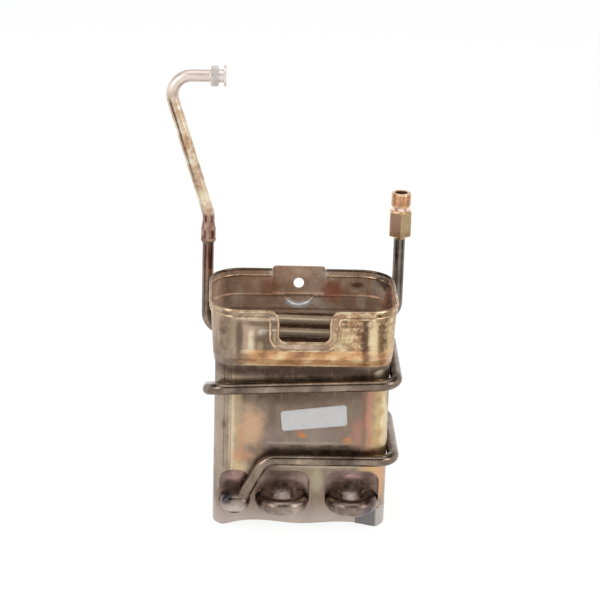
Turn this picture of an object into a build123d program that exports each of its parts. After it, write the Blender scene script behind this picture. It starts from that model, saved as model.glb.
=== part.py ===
from build123d import *
import math
import os

# Heat exchanger of an instantaneous gas water heater: a copper jacket with a finned core at its foot,
# and a tube coiled round it. X runs right, Y to the back, Z up. Places are counted from the jacket's
# axis, and the whole is moved at the end, so that the origin lies in the middle of its outline, on the
# plane it stands on. Sizes are in millimetres.

# How far cutters reach past a face, and joined shapes into each other
OVERLAP = 1.0
FILLET_MARGIN = 0.5

# Sheet jacket
SHEET = 1.0
BODY_WIDTH = 178.0
BODY_DEPTH = 121.0
BODY_TOP = 191.0
BODY_CORNER = 20.0
FRONT_EDGE_LEFT_RISE = 6.5
FRONT_EDGE_DIP = 3.2
FRONT_EDGE_RIGHT_RISE = 5.5

# Lock seam down the front of the jacket
SEAM_INSET = 13.5
SEAM_WIDTH = 7.0
SEAM_GROOVE = 0.6
SEAM_GROOVE_DEPTH = 0.4
SEAM_FOLD = 1.2

# Burner skirt, drawn wider than the jacket and lapped over it
SKIRT_FLARE_X = 5.5
SKIRT_FLARE_Y = 5.5
SKIRT_CORNER = 34.0
SKIRT_LAP = 13.5
SKIRT_HEIGHT = 59.5
SHOULDER_RISE = 9.0
SHOULDER_BULGE = 1.2
SHOULDER_BAND = 17.0
SHOULDER_SIDE = 1.2
SHOULDER_CORNER = 4.0
WAIST_SIDE = 1.8
WAIST_CORNER = 6.0
LAP_GAP = 0.05

# Border of the skirt: hem, rim bead and the gas notch
HEM_HEIGHT = 2.4
HEM_PROUD = 1.1
BEAD_DROP = 7.0
BEAD_WIDTH = 1.8
BEAD_PROUD = 0.9
NOTCH_WIDTH = 52.0
NOTCH_DEPTH = 33.0
NOTCH_CORNER = 7.0
NOTCH_FLARE = 11.0
NOTCH_BORDER = 8.5

# Rear tab with the fixing hole
TAB_OFFSET = -2.3
TAB_WIDTH = 56.0
TAB_RISE = 3.5
TAB_CORNER = 4.0
TAB_HOLE = 11.0
TAB_HOLE_DROP = 15.0
TAB_STEP_DROP = 27.5
TAB_STEP = 1.6

# Ledge inside the skirt's rear half, scooped out under the hole
LEDGE_THICK = 1.6
SCOOP_RADIUS = 16.7
SCOOP_DROP = 21.8

# Finned core
CORE_TUBE = 17.0
CORE_WALL = 1.0
CORE_COUNT = 5
CORE_INSET = 17.5
CORE_Z = 29.0
PLATE_INSET = 10.5
PLATE_THICK = 1.5
PLATE_STICK_OUT = 2.0
CORE_GAP = 0.1
CORE_CASING_GAP = 0.3
PLATE_OVER_WINDOW = 2.0
FIN_BOTTOM = 8.0
FIN_TOP = 52.0
FIN_INSET = 2.0
FIN_COUNT = 9
FIN_THICK = 0.5

# Openings in the jacket for the return bends and the ports
WINDOW_BOTTOM = 14.0
WINDOW_TOP = 62.0
WINDOW_MARGIN = 1.2
WINDOW_TOP_CORNER = 13.0
WINDOW_FOOT_CORNER = 18.0
BEND_LEG = 8.0
FLAP_TOP = 20.5
FLAP_WIDTH = 24.0
FLAP_INSET = 6.7
FLAP_PROUD = 1.2

# Coiled tube
TUBE = 12.0
TUBE_WALL = 1.0
TUBE_BEND = 18.0
TUBE_SEAT_GAP = 0.3
SEAT_DEPTH = 2.5
SEAT_GAP = 0.2
COIL_INLET_OUTSET = 9.2
REAR_RUN_LEFT_DROP = 20.5
REAR_RUN_RIGHT_DROP = 25.3
UPPER_FRONT_RIGHT_DROP = 30.5
UPPER_FRONT_LEFT_DROP = 38.0
LOWER_REAR_LEFT_Z = 103.0
LOWER_REAR_RIGHT_Z = 77.0
LOWER_FRONT_Z = 77.0
DIAGONAL_OFFSET = 35.0
DIAGONAL_RUN = 0.53

# Oval inlet cap on the first core tube
CAP_WALL = 1.2
CAP_REACH = 9.5
CAP_ROUND = 8.0
CAP_END = 4.0
CAP_END_GAP = 0.2

# Goose-neck pipe above the coil
NECK_TUBE = 12.7
SOCKET_RISE = 32.0
SOCKET_LENGTH = 19.0
SOCKET_TAPER = 7.0
SOCKET_WALL = 1.6
SOCKET_FIT = 0.1
SOCKET_LIP = 0.4
SOCKET_LIP_LENGTH = 3.0
SOCKET_END_GAP = 1.0
NECK_KINK_RISE = 9.0
NECK_SWING = 46.0
NECK_RISE = 147.0
NECK_TOP_BEND = 20.0
NECK_END_OFFSET = 0.2
NECK_BORE_DEPTH = 25.0

# Turned end fitting of the goose-neck
END_COLLAR_FLATS = 19.0
END_COLLAR_LENGTH = 8.0
END_NECK = 13.8
END_NECK_LENGTH = 5.2
END_FLANGE = 22.0
END_FLANGE_THICK = 2.6
END_GRIP = 6.0
END_CHAMFER = 0.4

# Outlet pipe and its threaded union
OUTLET_OUTSET = 13.9
OUTLET_RUN_DROP = 8.5
CROSSING_GAP = 0.6
UNION_RISE = 35.0
UNION_FLATS = 22.0
UNION_HEX_LENGTH = 28.5
UNION_GROOVE = 18.6
UNION_GROOVE_LENGTH = 4.2
UNION_THREAD = 20.96
UNION_THREAD_LENGTH = 14.8
UNION_BORE = 13.2
UNION_GRIP = 14.0
UNION_CHAMFER = 1.2
UNION_STEP = 2.0
REDUCER_LENGTH = 4.0
REDUCER_WALL = 1.4

HALF_X = BODY_WIDTH / 2
HALF_Y = BODY_DEPTH / 2
TUBE_R = TUBE / 2
CORE_R = CORE_TUBE / 2
SKIRT_BOTTOM = BODY_TOP - SKIRT_LAP
SKIRT_RIM = SKIRT_BOTTOM + SKIRT_HEIGHT
TAB_HOLE_Z = SKIRT_RIM - TAB_HOLE_DROP
TAB_STEP_Z = SKIRT_RIM - TAB_STEP_DROP
SCOOP_Z = SKIRT_RIM - SCOOP_DROP
PLATE_TOP = WINDOW_TOP + PLATE_OVER_WINDOW
PLATE_Y = HALF_Y - PLATE_INSET
CORE_PITCH = (BODY_WIDTH - 2 * CORE_INSET) / (CORE_COUNT - 1)
SIDE_X = HALF_X + TUBE_R + TUBE_SEAT_GAP
SIDE_Y = HALF_Y + TUBE_R + TUBE_SEAT_GAP
SEAT_Y = HALF_Y + TUBE_R - SEAT_DEPTH
OUTLET_Y = SIDE_Y + TUBE + CROSSING_GAP
CORE_XS = [CORE_INSET - HALF_X + i * CORE_PITCH for i in range(CORE_COUNT)]
COIL_INLET_X = -HALF_X - COIL_INLET_OUTSET
DIAGONAL_X = CORE_XS[0] + DIAGONAL_OFFSET
REAR_RUN_LEFT_Z = BODY_TOP - REAR_RUN_LEFT_DROP
REAR_RUN_RIGHT_Z = BODY_TOP - REAR_RUN_RIGHT_DROP
UPPER_FRONT_RIGHT_Z = BODY_TOP - UPPER_FRONT_RIGHT_DROP
UPPER_FRONT_LEFT_Z = BODY_TOP - UPPER_FRONT_LEFT_DROP
SOCKET_BOTTOM = SKIRT_RIM + SOCKET_RISE
NECK_KINK_Z = SOCKET_BOTTOM + SOCKET_LENGTH + NECK_KINK_RISE
NECK_TOP_Z = NECK_KINK_Z + NECK_RISE
NECK_END_X = COIL_INLET_X + NECK_END_OFFSET
OUTLET_X = HALF_X + OUTLET_OUTSET
OUTLET_RUN_Z = BODY_TOP - OUTLET_RUN_DROP
UNION_BOTTOM = SKIRT_RIM + UNION_RISE
TUBE_END_Y = PLATE_Y + PLATE_THICK + PLATE_STICK_OUT
SKIRT_HALF_X = HALF_X + SKIRT_FLARE_X
SKIRT_HALF_Y = HALF_Y + SKIRT_FLARE_Y


def outline(half_x, half_y, corner, z):
    """A rounded rectangle at height z."""
    return Plane.XY.offset(z) * RectangleRounded(2 * half_x, 2 * half_y, corner)


def stack(sections):
    """A straight-sided loft through rounded rectangles, each (half x, half y, corner, z)."""
    return loft([outline(*section) for section in sections], ruled=True)


def rod(start, end, radius):
    """A round bar from one point to another."""
    axis = Vector(end) - Vector(start)
    plane = Plane(origin=start, z_dir=axis)
    return plane * Cylinder(radius, axis.length, align=(Align.CENTER, Align.CENTER, Align.MIN))


def bent_bar(points, radius, bends):
    """A round bar along a bent centre line."""
    path = FilletPolyline(*points, radius=bends)
    section = Plane(origin=path @ 0, z_dir=path % 0) * Circle(radius)
    return sweep(section, path=path)


def bar_window(centre, width, sign):
    """The cutter for one opening in the front (-1) or rear (1) wall."""
    height = WINDOW_TOP - WINDOW_BOTTOM
    with BuildSketch(Plane.XZ) as face:
        with Locations((centre, WINDOW_BOTTOM + height / 2)):
            Rectangle(width, height)
        most = width / 2 - FILLET_MARGIN
        fillet(face.vertices().sort_by(Axis.Y)[2:], min(WINDOW_TOP_CORNER, most))
        fillet(face.vertices().sort_by(Axis.Y)[:2], min(WINDOW_FOOT_CORNER, most))
    cutter = extrude(face.sketch, amount=HALF_Y, both=True)
    return cutter & Pos(0, sign * HALF_Y, 0) * Box(4 * HALF_X, 2 * BODY_CORNER, 4 * WINDOW_TOP)


def bend_pairs(first):
    """The x places of the two tubes that each return bend joins."""
    return [(CORE_XS[i], CORE_XS[i + 1]) for i in range(first, CORE_COUNT - 1, 2)]


def windows():
    """All openings round the return bends, the inlet cap and the outlet reducer."""
    pair_width = CORE_PITCH + CORE_TUBE + 2 * WINDOW_MARGIN
    port_width = CORE_TUBE + 2 * (CORE_GAP + CAP_WALL + WINDOW_MARGIN)
    cutters = [bar_window((a + b) / 2, pair_width, -1) for a, b in bend_pairs(1)]
    cutters += [bar_window((a + b) / 2, pair_width, 1) for a, b in bend_pairs(0)]
    cutters += [bar_window(CORE_XS[0] + CAP_REACH / 2, port_width + CAP_REACH, -1)]
    cutters += [bar_window(CORE_XS[-1], port_width, 1)]
    return cutters


def rear_run_z(x):
    """Height of the coil's first run along the rear wall."""
    share = (x - COIL_INLET_X) / (SIDE_X - COIL_INLET_X)
    return REAR_RUN_LEFT_Z + share * (REAR_RUN_RIGHT_Z - REAR_RUN_LEFT_Z)


def tube_seats(radius):
    """Two bars along the rear wall: the coil's seat and the stiffening bead above it."""
    rise = OUTLET_RUN_Z - rear_run_z(0)
    reach = HALF_X + TUBE
    bars = []
    for lift in (0, rise):
        start = (-reach, SEAT_Y, rear_run_z(-reach) + lift)
        end = (reach, SEAT_Y, rear_run_z(reach) + lift)
        bars.append(rod(start, end, radius))
    return bars


def front_edge_cut():
    """The uneven foot of the front wall: it stands clear of the ground between the corners."""
    flat = HALF_X - BODY_CORNER / 2
    with BuildSketch(Plane.XZ) as foot:
        with BuildLine():
            edge = Spline(
                (-flat, 0), (-flat / 2, FRONT_EDGE_LEFT_RISE), (0, FRONT_EDGE_DIP),
                (flat / 2, FRONT_EDGE_RIGHT_RISE), (flat, 0))
            Line(edge @ 1, edge @ 0)
        make_face()
    slab = extrude(foot.sketch, amount=HALF_Y + FLAP_PROUD + OVERLAP, both=True)
    return slab & Pos(0, -HALF_Y, 0) * Box(4 * HALF_X, 2 * BODY_CORNER, BODY_TOP)


def wall_strip(x, width, outside, inside, bottom, top):
    """A strip that follows the front wall, between two depths below its outer face."""
    outer = extrude(
        outline(HALF_X - outside, HALF_Y - outside, BODY_CORNER - outside, bottom),
        amount=top - bottom)
    inner = extrude(
        outline(HALF_X - inside, HALF_Y - inside, BODY_CORNER - inside, bottom),
        amount=top - bottom)
    cut = Pos(x, -HALF_Y, (bottom + top) / 2) * Box(width, HALF_Y, top - bottom)
    return (outer - inner) & cut


def make_jacket():
    """The wrapped sheet, with tube seats, openings and lock seam."""
    outer = extrude(outline(HALF_X, HALF_Y, BODY_CORNER, 0), amount=BODY_TOP)
    inner = extrude(
        outline(HALF_X - SHEET, HALF_Y - SHEET, BODY_CORNER - SHEET, 0), amount=BODY_TOP)
    shell = outer - inner
    for bar in tube_seats(TUBE_R + SEAT_GAP + SHEET):
        shell += bar & outer
    seam_x = -HALF_X + SEAM_INSET
    seam_foot = WINDOW_TOP + WINDOW_MARGIN
    shell += wall_strip(seam_x, SEAM_WIDTH, SHEET / 2, SHEET + SEAM_FOLD, seam_foot, BODY_TOP)
    for bar in tube_seats(TUBE_R + SEAT_GAP):
        shell -= bar
    for cutter in windows():
        shell -= cutter
    flap_x = HALF_X - FLAP_INSET - FLAP_WIDTH / 2
    shell += wall_strip(flap_x, FLAP_WIDTH, -FLAP_PROUD, SHEET, 0, FLAP_TOP)
    for side in (-1, 1):
        edge = seam_x + side * SEAM_WIDTH / 2
        shell -= wall_strip(edge, SEAM_GROOVE, -SHEET, SEAM_GROOVE_DEPTH, seam_foot, BODY_TOP)
    return shell - front_edge_cut()


def skirt_waist():
    """Half width, half depth and corner of the skirt just above its band."""
    return HALF_X + SHEET + WAIST_SIDE, SKIRT_HALF_Y, BODY_CORNER + WAIST_CORNER


def skirt_sections(inset):
    """The rounded rectangles up the skirt, moved in by a wall thickness."""
    low = (HALF_X + SHEET + LAP_GAP, HALF_Y + SHEET + LAP_GAP, BODY_CORNER + SHEET + LAP_GAP)
    wide = (
        HALF_X + SHEET + SHOULDER_SIDE, SKIRT_HALF_Y + SHOULDER_BULGE, BODY_CORNER + SHOULDER_CORNER)
    rim = (SKIRT_HALF_X, SKIRT_HALF_Y, SKIRT_CORNER)
    levels = [
        (low, SKIRT_BOTTOM),
        (low, SKIRT_BOTTOM + SHEET),
        (wide, SKIRT_BOTTOM + SHOULDER_RISE),
        (skirt_waist(), SKIRT_BOTTOM + SHOULDER_BAND),
        (rim, SKIRT_RIM),
    ]
    return [(hx - inset, hy - inset, corner - inset, z) for (hx, hy, corner), z in levels]


def notch_sizes(inset):
    """Half width, foot, corner, flare and half width at the top of the notch, moved outwards."""
    half = NOTCH_WIDTH / 2 + inset
    foot = SKIRT_RIM - NOTCH_DEPTH - inset
    corner = NOTCH_CORNER + inset
    flare = NOTCH_FLARE - min(inset, NOTCH_FLARE / 2)
    return half, foot, corner, flare, half + flare


def notch_face(inset, top):
    """A filled sketch of the notch, moved outwards by inset, up to height top."""
    half, foot, corner, flare, wide = notch_sizes(inset)
    k = math.sqrt(0.5)
    with BuildSketch(Plane.XZ) as face:
        with BuildLine():
            Line((-wide, top), (wide, top))
            ThreePointArc(
                (wide, top), (wide - flare * k, top - flare * (1 - k)), (half, top - flare))
            Line((half, top - flare), (half, foot + corner))
            ThreePointArc(
                (half, foot + corner),
                (half - corner * (1 - k), foot + corner * (1 - k)),
                (half - corner, foot))
            Line((half - corner, foot), (-half + corner, foot))
            ThreePointArc(
                (-half + corner, foot),
                (-half + corner * (1 - k), foot + corner * (1 - k)),
                (-half, foot + corner))
            Line((-half, foot + corner), (-half, top - flare))
            ThreePointArc(
                (-half, top - flare), (-wide + flare * k, top - flare * (1 - k)), (-wide, top))
        make_face()
    return face.sketch


def front_slab(face, depth_in, proud):
    """A sketch in the front wall's plane, from depth_in inside to proud in front of it."""
    block = extrude(face, amount=depth_in + proud)
    return Pos(0, -SKIRT_HALF_Y + depth_in, 0) * block


def rim_ring(z, height, proud):
    """A band round the skirt, proud of its wall."""
    share = (SKIRT_RIM - z) / (SKIRT_RIM - SKIRT_BOTTOM - SHOULDER_BAND)
    waist_x, _, waist_corner = skirt_waist()
    half_x = SKIRT_HALF_X - share * (SKIRT_HALF_X - waist_x)
    corner = SKIRT_CORNER - share * (SKIRT_CORNER - waist_corner)
    outer = extrude(outline(half_x + proud, SKIRT_HALF_Y + proud, corner + proud, z), amount=height)
    core = extrude(
        outline(half_x - SHEET / 2, SKIRT_HALF_Y - SHEET / 2, corner - SHEET / 2, z), amount=height)
    return outer - core


def tab_slab(shrink, lift, thick):
    """A block with the tab's rounded outline, from the skirt's inner rear face to the back."""
    height = SKIRT_RIM + TAB_RISE - TAB_STEP_Z
    place = Pos(TAB_OFFSET, TAB_STEP_Z + height / 2 + lift)
    face = Plane.XZ * place * RectangleRounded(
        TAB_WIDTH - 2 * shrink, height, TAB_CORNER - shrink)
    return Pos(0, SKIRT_HALF_Y - SHEET, 0) * extrude(face, amount=-thick)


def rear_ledge():
    """The step inside the skirt's rear half, with the round scoop under the hole."""
    bottom = SKIRT_BOTTOM + SHOULDER_BAND
    ring = stack(skirt_sections(SHEET / 2)) - stack(skirt_sections(SHEET + LEDGE_THICK))
    zone = Pos(0, SKIRT_HALF_Y, (bottom + TAB_STEP_Z) / 2) * Box(
        4 * HALF_X, 2 * SKIRT_CORNER, TAB_STEP_Z - bottom)
    scoop = rod(
        (TAB_OFFSET, SKIRT_HALF_Y / 2, SCOOP_Z), (TAB_OFFSET, SKIRT_HALF_Y - SHEET, SCOOP_Z),
        SCOOP_RADIUS)
    return (ring & zone) - scoop


def make_skirt():
    """The drawn skirt with its hem, bead, notch, ledge and tab."""
    shell = stack(skirt_sections(0)) - stack(skirt_sections(SHEET))
    hem = rim_ring(SKIRT_RIM - HEM_HEIGHT, HEM_HEIGHT, HEM_PROUD)
    bead = rim_ring(SKIRT_RIM - BEAD_DROP - BEAD_WIDTH, BEAD_WIDTH, BEAD_PROUD)
    tab_zone = Pos(TAB_OFFSET, SKIRT_HALF_Y, SKIRT_RIM) * Box(
        TAB_WIDTH, SKIRT_HALF_Y, SKIRT_RIM / 2)
    shell += hem - tab_zone
    inner = notch_face(NOTCH_BORDER, SKIRT_RIM - BEAD_DROP)
    outer = notch_face(NOTCH_BORDER + BEAD_WIDTH, SKIRT_RIM - BEAD_DROP)
    clear = front_slab(outer, SKIRT_HALF_Y / 2, HEM_PROUD + OVERLAP)
    shell += bead - tab_zone - clear
    shell += front_slab(outer - inner, SHEET / 2, BEAD_PROUD)
    shell += rear_ledge()
    shell = shell + tab_slab(0, 0, SHEET + TAB_STEP) - tab_slab(SHEET, SHEET, TAB_STEP)
    shell -= front_slab(notch_face(0, SKIRT_RIM + SHEET), SKIRT_HALF_Y / 2, HEM_PROUD + OVERLAP)
    hole = rod(
        (TAB_OFFSET, SKIRT_HALF_Y / 2, TAB_HOLE_Z), (TAB_OFFSET, 2 * SKIRT_HALF_Y, TAB_HOLE_Z),
        TAB_HOLE / 2)
    return shell - hole


def casing_half_x(y):
    """How far a plate across the jacket may reach at depth y, clear of the sheet."""
    past_flat = max(0, abs(y) - HALF_Y + BODY_CORNER)
    inner_corner = BODY_CORNER - SHEET - CORE_CASING_GAP
    return HALF_X - BODY_CORNER + math.sqrt(inner_corner ** 2 - past_flat ** 2)


def perforated_plate(y, thick, bottom, top, holes):
    """An upright sheet across the jacket with a row of tube holes, its near face at y."""
    half_x = min(casing_half_x(y), casing_half_x(y + thick))
    plate = Pos(0, y + thick / 2, (bottom + top) / 2) * Box(2 * half_x, thick, top - bottom)
    for x in CORE_XS:
        plate -= rod((x, y - OVERLAP, CORE_Z), (x, y + thick + OVERLAP, CORE_Z), holes)
    return plate


def make_tube_plate(side):
    """The thick plate at one end of the fin pack."""
    y = PLATE_Y if side > 0 else -PLATE_Y - PLATE_THICK
    return perforated_plate(y, PLATE_THICK, FIN_BOTTOM, PLATE_TOP, CORE_R + CORE_GAP)


def make_fins():
    """The fins between the tube plates, evenly spaced."""
    pitch = 2 * PLATE_Y / (FIN_COUNT + 1)
    fins = []
    for i in range(FIN_COUNT):
        y = -PLATE_Y + (i + 1) * pitch - FIN_THICK / 2
        fins.append(perforated_plate(
            y, FIN_THICK, FIN_BOTTOM + FIN_INSET, FIN_TOP - FIN_INSET, CORE_R + CORE_GAP))
    return Compound(fins)


def make_core_tube(x):
    """One straight tube through the fins."""
    start = (x, -TUBE_END_Y, CORE_Z)
    end = (x, TUBE_END_Y, CORE_Z)
    return rod(start, end, CORE_R) - rod(start, end, CORE_R - CORE_WALL)


def return_bend(a, b, side):
    """A U-shaped bend that joins two core tubes, on the front (-1) or rear (1)."""
    y0 = side * TUBE_END_Y
    y1 = side * (TUBE_END_Y + BEND_LEG)
    crest = side * (TUBE_END_Y + BEND_LEG + (b - a) / 2)
    with BuildLine() as path:
        Line((a, y0, CORE_Z), (a, y1, CORE_Z))
        ThreePointArc((a, y1, CORE_Z), ((a + b) / 2, crest, CORE_Z), (b, y1, CORE_Z))
        Line((b, y1, CORE_Z), (b, y0, CORE_Z))
    section = Plane(origin=(a, y0, CORE_Z), z_dir=(0, side, 0)) * Circle(CORE_R)
    return sweep(section, path=path.line)


def make_return_bends():
    """Two bends at the front and two at the rear."""
    front = [return_bend(a, b, -1) for a, b in bend_pairs(1)]
    rear = [return_bend(a, b, 1) for a, b in bend_pairs(0)]
    return Compound(front + rear)


def coil_points():
    """Centre line of the coil, from the socket at the top to the inlet cap."""
    drop = LOWER_FRONT_Z - CORE_Z
    grip_end = SOCKET_BOTTOM + SOCKET_LENGTH - SOCKET_END_GAP
    full = (DIAGONAL_X - DIAGONAL_RUN * drop, -SIDE_Y, LOWER_FRONT_Z - drop)
    return [
        (COIL_INLET_X, SEAT_Y, grip_end),
        (COIL_INLET_X, SEAT_Y, REAR_RUN_LEFT_Z),
        (SIDE_X, SEAT_Y, REAR_RUN_RIGHT_Z),
        (SIDE_X, -SIDE_Y, UPPER_FRONT_RIGHT_Z),
        (-SIDE_X, -SIDE_Y, UPPER_FRONT_LEFT_Z),
        (-SIDE_X, SIDE_Y, LOWER_REAR_LEFT_Z),
        (SIDE_X, SIDE_Y, LOWER_REAR_RIGHT_Z),
        (SIDE_X, -SIDE_Y, LOWER_FRONT_Z),
        (DIAGONAL_X, -SIDE_Y, LOWER_FRONT_Z),
        full,
    ]


def make_coil():
    """The tube once and a half round the jacket, bored at its upper end."""
    x, y, top = coil_points()[0]
    bar = bent_bar(coil_points(), TUBE_R, TUBE_BEND)
    return bar - rod((x, y, top - SOCKET_LENGTH), (x, y, top + OVERLAP), TUBE_R - TUBE_WALL)


def make_inlet_cap():
    """The oval cup that closes the first core tube and takes the coil's end in its shoulder."""
    x = CORE_XS[0]
    inner = CORE_R + CORE_GAP
    mouth = -PLATE_Y - PLATE_THICK - CORE_GAP
    end_y = -SIDE_Y - inner
    face = Plane.XZ * Pos(x + CAP_REACH / 2, CORE_Z) * SlotCenterToCenter(
        CAP_REACH, 2 * (inner + CAP_WALL))
    body = Pos(0, mouth, 0) * extrude(face, amount=mouth - end_y)
    body = fillet(body.faces().sort_by(Axis.Y)[0].edges(), CAP_ROUND)
    body -= rod((x, mouth + OVERLAP, CORE_Z), (x, end_y + CAP_END, CORE_Z), inner)
    end = Vector(coil_points()[-1])
    up = (Vector(coil_points()[-2]) - end).normalized()
    return body - rod(end - up * CAP_END_GAP, end + up * CORE_TUBE, TUBE_R + SEAT_GAP)


def make_gooseneck():
    """The upper pipe with its flared socket."""
    x = COIL_INLET_X
    corner = (x - NECK_SWING, SEAT_Y, NECK_TOP_Z)
    base_z = SOCKET_BOTTOM + SOCKET_LENGTH
    end = (NECK_END_X + END_GRIP, SEAT_Y, NECK_TOP_Z)
    points = [(x, SEAT_Y, base_z), (x, SEAT_Y, NECK_KINK_Z), corner, end]
    pipe = bent_bar(points, NECK_TUBE / 2, NECK_TOP_BEND)
    socket_r = TUBE_R + SOCKET_FIT + SOCKET_WALL
    with BuildSketch(Plane.XZ) as profile:
        Polygon(
            (0, SOCKET_BOTTOM), (socket_r + SOCKET_LIP, SOCKET_BOTTOM),
            (socket_r, SOCKET_BOTTOM + SOCKET_LIP_LENGTH), (socket_r, base_z - SOCKET_TAPER),
            (NECK_TUBE / 2, base_z + OVERLAP), (0, base_z + OVERLAP), align=None)
    socket = revolve(profile.sketch, Axis.Z)
    pipe += Pos(x, SEAT_Y, 0) * socket
    pipe -= rod((x, SEAT_Y, SOCKET_BOTTOM - OVERLAP), (x, SEAT_Y, base_z), TUBE_R + SOCKET_FIT)
    bore = NECK_TUBE / 2 - TUBE_WALL
    inside = (end[0] - NECK_BORE_DEPTH, SEAT_Y, NECK_TOP_Z)
    return pipe - rod(inside, (end[0] + OVERLAP, SEAT_Y, NECK_TOP_Z), bore)


def hex_bar(flats, length, chamfer_size):
    """A hexagonal bar on the XY plane with both ends chamfered."""
    bar = extrude(RegularPolygon(flats / 2, 6, major_radius=False, rotation=30), amount=length)
    reach = flats / math.sqrt(3)
    blank = Cylinder(reach, length, align=(Align.CENTER, Align.CENTER, Align.MIN))
    blank = chamfer(blank.edges().filter_by(GeomType.CIRCLE), chamfer_size)
    return bar & blank


def make_end_fitting():
    """The turned fitting on the goose-neck's free end, built upright and laid along X."""
    neck_top = END_COLLAR_LENGTH + END_NECK_LENGTH
    total = neck_top + END_FLANGE_THICK
    body = hex_bar(END_COLLAR_FLATS, END_COLLAR_LENGTH, UNION_CHAMFER)
    body += Pos(0, 0, END_COLLAR_LENGTH) * Cylinder(
        END_NECK / 2, END_NECK_LENGTH, align=(Align.CENTER, Align.CENTER, Align.MIN))
    flange = Pos(0, 0, neck_top) * Cylinder(
        END_FLANGE / 2, END_FLANGE_THICK, align=(Align.CENTER, Align.CENTER, Align.MIN))
    body += chamfer(flange.edges().filter_by(GeomType.CIRCLE), END_CHAMFER)
    body -= rod((0, 0, -OVERLAP), (0, 0, END_GRIP), NECK_TUBE / 2 + SOCKET_FIT)
    body -= rod((0, 0, 0), (0, 0, total + OVERLAP), NECK_TUBE / 2 - TUBE_WALL)
    return Pos(NECK_END_X, SEAT_Y, NECK_TOP_Z) * Rot(0, 90, 0) * body


def outlet_points():
    """Centre line of the outlet pipe, from the union down to the last core tube."""
    x = CORE_XS[-1]
    foot = TUBE_END_Y + REDUCER_LENGTH / 2
    return [
        (OUTLET_X, OUTLET_Y, UNION_BOTTOM + UNION_GRIP),
        (OUTLET_X, OUTLET_Y, OUTLET_RUN_Z),
        (x, OUTLET_Y, OUTLET_RUN_Z),
        (x, OUTLET_Y, CORE_Z),
        (x, foot, CORE_Z),
    ]


def make_outlet_pipe():
    """The pipe from the last core tube up to the union."""
    points = outlet_points()
    bend = min(TUBE_BEND, (OUTLET_X - points[2][0]) / 2 - FILLET_MARGIN)
    pipe = bent_bar(points, TUBE_R, bend)
    x, y, top = points[0]
    return pipe - rod((x, y, top - 2 * UNION_GRIP), (x, y, top + OVERLAP), TUBE_R - TUBE_WALL)


def make_outlet_reducer():
    """The stepped socket between the last core tube and the outlet pipe."""
    x = CORE_XS[-1]
    inner = CORE_R + CORE_GAP
    mouth = PLATE_Y + PLATE_THICK + CORE_GAP
    shoulder = TUBE_END_Y + CORE_GAP
    end = shoulder + REDUCER_LENGTH
    body = rod((x, mouth, CORE_Z), (x, shoulder + CAP_WALL, CORE_Z), inner + CAP_WALL)
    body += rod((x, shoulder, CORE_Z), (x, end, CORE_Z), TUBE_R + SEAT_GAP + REDUCER_WALL)
    body -= rod((x, mouth - OVERLAP, CORE_Z), (x, shoulder, CORE_Z), inner)
    body -= rod((x, mouth, CORE_Z), (x, end + OVERLAP, CORE_Z), TUBE_R + SEAT_GAP)
    return body


def make_union():
    """The brass union: hexagon, groove and pipe thread blank, bored through."""
    body = Pos(0, 0, UNION_BOTTOM) * hex_bar(UNION_FLATS, UNION_HEX_LENGTH, UNION_CHAMFER)
    groove_z = UNION_BOTTOM + UNION_HEX_LENGTH
    thread_z = groove_z + UNION_GROOVE_LENGTH
    top = thread_z + UNION_THREAD_LENGTH
    body += rod((0, 0, groove_z - OVERLAP), (0, 0, thread_z), UNION_GROOVE / 2)
    thread = Pos(0, 0, thread_z) * Cylinder(
        UNION_THREAD / 2, UNION_THREAD_LENGTH, align=(Align.CENTER, Align.CENTER, Align.MIN))
    body += chamfer(thread.edges().filter_by(GeomType.CIRCLE), UNION_CHAMFER)
    grip_top = UNION_BOTTOM + UNION_GRIP
    body -= rod((0, 0, UNION_BOTTOM - OVERLAP), (0, 0, grip_top), TUBE_R + SOCKET_FIT)
    body -= rod((0, 0, grip_top), (0, 0, grip_top + UNION_STEP + OVERLAP), TUBE_R - TUBE_WALL)
    body -= rod((0, 0, grip_top + UNION_STEP), (0, 0, top + OVERLAP), UNION_BORE / 2)
    return Pos(OUTLET_X, OUTLET_Y, 0) * body


def make_parts():
    """Every sub-part by its node name."""
    parts = {
        "jacket": make_jacket(),
        "burner_skirt": make_skirt(),
        "front_tube_plate": make_tube_plate(-1),
        "rear_tube_plate": make_tube_plate(1),
        "fin_pack": make_fins(),
        "return_bends": make_return_bends(),
        "coil_tube": make_coil(),
        "inlet_cap": make_inlet_cap(),
        "gooseneck_pipe": make_gooseneck(),
        "gooseneck_fitting": make_end_fitting(),
        "outlet_pipe": make_outlet_pipe(),
        "outlet_reducer": make_outlet_reducer(),
        "outlet_union": make_union(),
    }
    for number, x in enumerate(CORE_XS, start=1):
        parts[f"core_tube_{number}"] = make_core_tube(x)
    return parts


def to_origin(parts):
    """The move that puts the middle of the whole outline over the origin."""
    boxes = [shape.bounding_box() for shape in parts.values()]
    x = (min(box.min.X for box in boxes) + max(box.max.X for box in boxes)) / 2
    y = (min(box.min.Y for box in boxes) + max(box.max.Y for box in boxes)) / 2
    return Pos(-x, -y, 0)


os.makedirs("parts", exist_ok=True)
all_parts = make_parts()
home = to_origin(all_parts)
for name, shape in all_parts.items():
    export_step(shape.moved(home), f"parts/{name}.step")
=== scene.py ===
import math

import bmesh
import bpy
from mathutils import Matrix, Vector


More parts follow.
